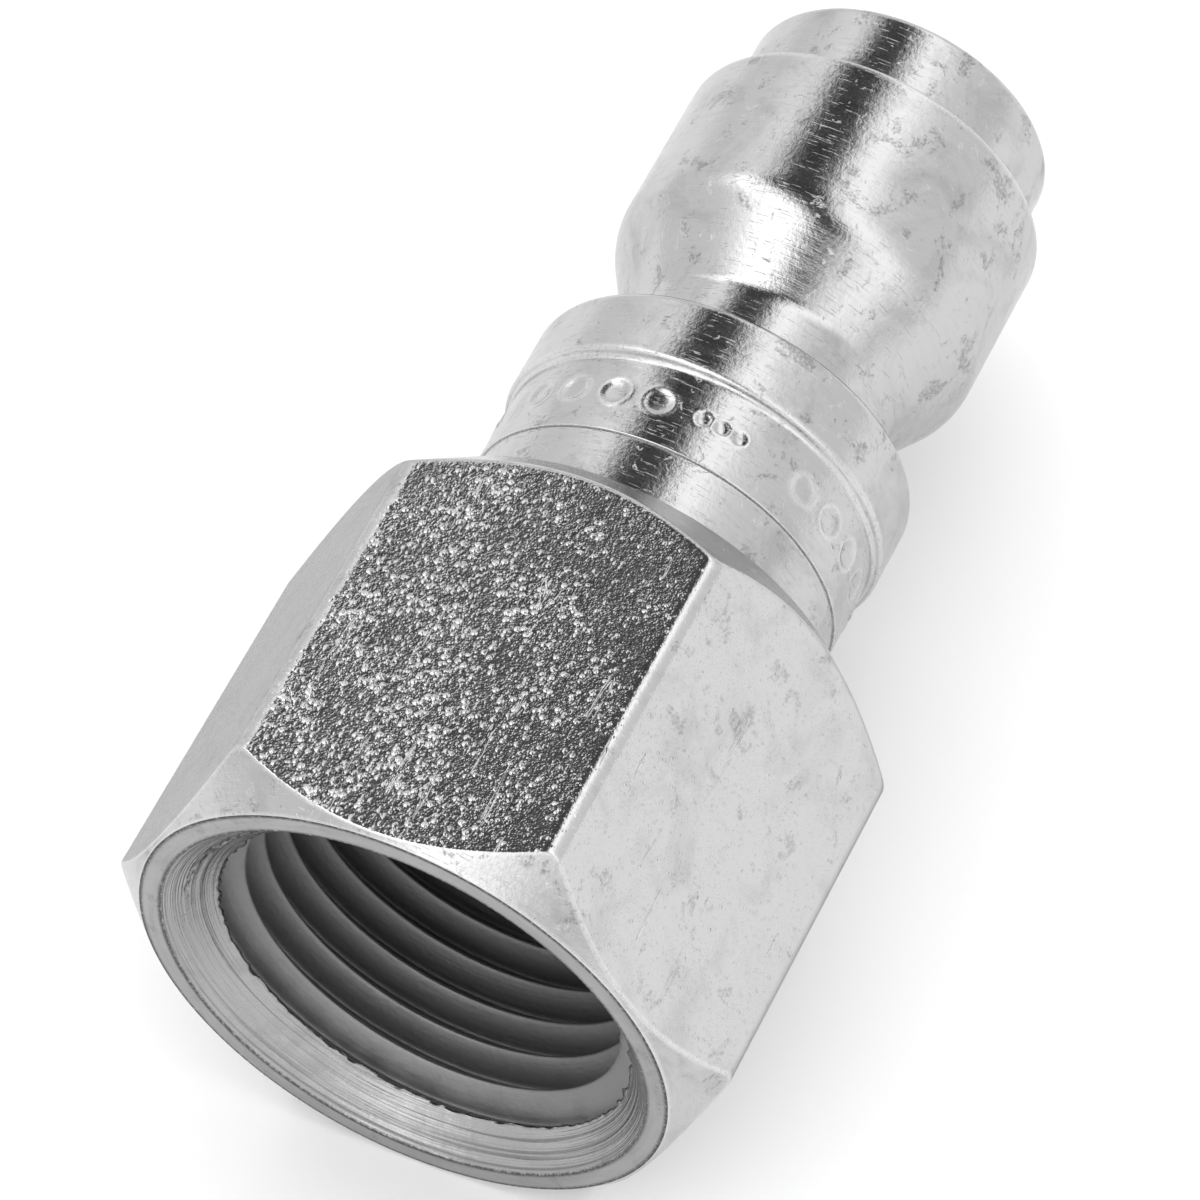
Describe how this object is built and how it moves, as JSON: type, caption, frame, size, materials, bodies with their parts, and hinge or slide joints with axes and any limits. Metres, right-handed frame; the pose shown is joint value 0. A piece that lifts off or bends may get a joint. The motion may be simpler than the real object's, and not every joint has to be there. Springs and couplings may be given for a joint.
{
  "type": "quick disconnect coupler plug",
  "caption": "Hex-bodied male coupler plug with a female taper pipe port, ball-lock groove, sealing nose and spring-closed poppet valve.",
  "frame": {"origin": "centre of the flat port face, on the axis", "axes": "+X along the axis from the port face to the nose, +Z the normal of one wrench flat"},
  "size_m": [0.0537, 0.029, 0.0254],
  "materials": {
    "zinc_steel": "bright zinc plate over turned steel, satin with fine circumferential tool marks",
    "valve_steel": "turned stainless steel",
    "spring_steel": "drawn spring wire and hardened strip, lightly oiled",
    "brass": "machined brass",
    "nitrile": "matt black moulded nitrile",
    "ptfe": "waxy white cut PTFE"
  },
  "bodies": {
    "plug_body": {"hex_adapter": "zinc_steel", "plug_tip": "zinc_steel", "joint_o_ring": "nitrile", "joint_backup_ring": "ptfe", "valve_guide": "brass", "retaining_ring": "spring_steel", "valve_spring": "spring_steel"},
    "poppet": {"poppet_stem": "valve_steel", "poppet_nose": "valve_steel", "poppet_seal": "nitrile"}
  },
  "joints": [
    {"name": "poppet_slide", "type": "slide", "parent": "plug_body", "child": "poppet", "axis": [-1, 0, 0], "range_m": [0, 0.004], "stiffness_N_per_m": 2400, "springref_m": -0.005, "deforming": ["valve_spring"]}
  ]
}
